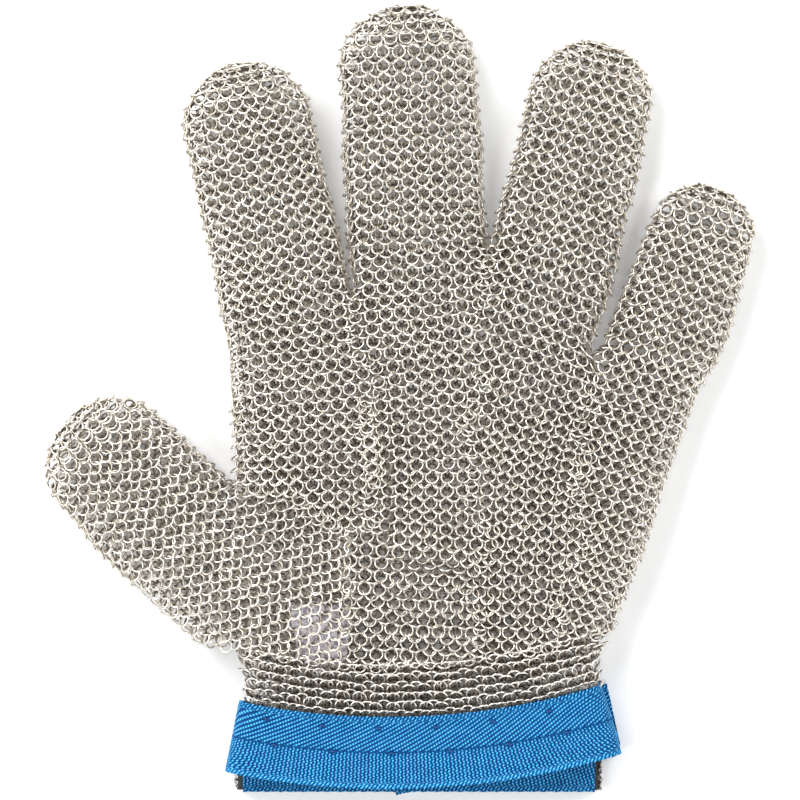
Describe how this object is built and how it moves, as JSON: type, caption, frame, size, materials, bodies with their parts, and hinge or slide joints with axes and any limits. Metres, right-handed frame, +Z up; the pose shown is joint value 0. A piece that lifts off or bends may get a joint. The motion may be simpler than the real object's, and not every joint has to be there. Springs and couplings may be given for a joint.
{
  "type": "cut resistant glove",
  "caption": "Steel ring mail glove with a finger tube for each digit, lying flat palm up, and a blue webbing wrist strap with a hook-and-loop closure.",
  "frame": {"origin": "on the surface the glove lies on, under the middle of its outline", "axes": "+Y from the wrist to the fingertips, +X from the thumb side to the little finger, +Z up out of the palm"},
  "size_m": [0.2183, 0.244, 0.0171],
  "materials": {
    "steel_mail": "bright stainless steel rings",
    "webbing": "blue herringbone polyester webbing",
    "loop_tape": "fuzzy dark loop tape",
    "hook_tape": "black hook tape",
    "thread": "blue sewing thread",
    "film": "clear plastic film"
  },
  "bodies": {
    "hand": {"palm_mail": "steel_mail", "back_mail": "steel_mail", "thumb_web_mail": "steel_mail", "cuff_palm_mail": "steel_mail", "cuff_back_mail": "steel_mail", "strap_front_band": "webbing", "strap_back_band": "webbing", "loop_tape": "loop_tape", "stitch_row_upper": "thread", "stitch_row_middle": "thread", "size_tag": "film"},
    "index_base": {"index_base_mail": "steel_mail"},
    "index_middle": {"index_middle_mail": "steel_mail"},
    "index_tip": {"index_tip_mail": "steel_mail"},
    "middle_base": {"middle_base_mail": "steel_mail"},
    "middle_middle": {"middle_middle_mail": "steel_mail"},
    "middle_tip": {"middle_tip_mail": "steel_mail"},
    "ring_base": {"ring_base_mail": "steel_mail"},
    "ring_middle": {"ring_middle_mail": "steel_mail"},
    "ring_tip": {"ring_tip_mail": "steel_mail"},
    "little_base": {"little_base_mail": "steel_mail"},
    "little_middle": {"little_middle_mail": "steel_mail"},
    "little_tip": {"little_tip_mail": "steel_mail"},
    "thumb_base": {"thumb_base_mail": "steel_mail"},
    "thumb_tip": {"thumb_tip_mail": "steel_mail"},
    "flap": {"closure_flap": "webbing", "hook_tape": "hook_tape"}
  },
  "joints": [
    {"name": "index_knuckle_bend", "type": "hinge", "parent": "hand", "child": "index_base", "pos_m": [-0.038, 0.043, 0.0078], "axis": [0.9781, 0.2079, 0], "range_deg": [0, 80]},
    {"name": "index_middle_bend", "type": "hinge", "parent": "index_base", "child": "index_middle", "pos_m": [-0.04264, 0.06483, 0.0078], "axis": [0.9781, 0.2079, 0], "range_deg": [0, 90]},
    {"name": "index_tip_bend", "type": "hinge", "parent": "index_middle", "child": "index_tip", "pos_m": [-0.04677, 0.08424, 0.0078], "axis": [0.9781, 0.2079, 0], "range_deg": [0, 60]},
    {"name": "middle_knuckle_bend", "type": "hinge", "parent": "hand", "child": "middle_base", "pos_m": [0.0049, 0.056, 0.0078], "axis": [0.9981, 0.061, 0], "range_deg": [0, 80]},
    {"name": "middle_middle_bend", "type": "hinge", "parent": "middle_base", "child": "middle_middle", "pos_m": [0.00345, 0.07968, 0.0078], "axis": [0.9981, 0.061, 0], "range_deg": [0, 90]},
    {"name": "middle_tip_bend", "type": "hinge", "parent": "middle_middle", "child": "middle_tip", "pos_m": [0.00216, 0.10073, 0.0078], "axis": [0.9981, 0.061, 0], "range_deg": [0, 60]},
    {"name": "ring_knuckle_bend", "type": "hinge", "parent": "hand", "child": "ring_base", "pos_m": [0.0495, 0.054, 0.0078], "axis": [0.9724, -0.2334, 0], "range_deg": [0, 80]},
    {"name": "ring_middle_bend", "type": "hinge", "parent": "ring_base", "child": "ring_middle", "pos_m": [0.05433, 0.07413, 0.0078], "axis": [0.9724, -0.2334, 0], "range_deg": [0, 90]},
    {"name": "ring_tip_bend", "type": "hinge", "parent": "ring_middle", "child": "ring_tip", "pos_m": [0.05863, 0.09202, 0.0078], "axis": [0.9724, -0.2334, 0], "range_deg": [0, 60]},
    {"name": "little_knuckle_bend", "type": "hinge", "parent": "hand", "child": "little_base", "pos_m": [0.0823, 0.02, 0.0078], "axis": [0.9455, -0.3256, 0], "range_deg": [0, 80]},
    {"name": "little_middle_bend", "type": "hinge", "parent": "little_base", "child": "little_middle", "pos_m": [0.08793, 0.03634, 0.0078], "axis": [0.9455, -0.3256, 0], "range_deg": [0, 90]},
    {"name": "little_tip_bend", "type": "hinge", "parent": "little_middle", "child": "little_tip", "pos_m": [0.09293, 0.05086, 0.0078], "axis": [0.9455, -0.3256, 0], "range_deg": [0, 60]},
    {"name": "thumb_base_bend", "type": "hinge", "parent": "hand", "child": "thumb_base", "pos_m": [-0.0686, -0.0394, 0.0078], "axis": [0.7009, 0.7133, 0], "range_deg": [0, 60]},
    {"name": "thumb_tip_bend", "type": "hinge", "parent": "thumb_base", "child": "thumb_tip", "pos_m": [-0.08572, -0.02258, 0.0078], "axis": [0.7009, 0.7133, 0], "range_deg": [0, 75]},
    {"name": "closure_flap_open", "type": "hinge", "parent": "hand", "child": "flap", "pos_m": [0.0683, -0.1068, 0.00055], "axis": [0.2164, -0.9763, 0], "range_deg": [0, 180]}
  ],
  "couplings": [
    {"joint": "index_tip_bend", "follows": "index_middle_bend", "ratio": 0.666},
    {"joint": "middle_tip_bend", "follows": "middle_middle_bend", "ratio": 0.666},
    {"joint": "ring_tip_bend", "follows": "ring_middle_bend", "ratio": 0.666},
    {"joint": "little_tip_bend", "follows": "little_middle_bend", "ratio": 0.666}
  ]
}
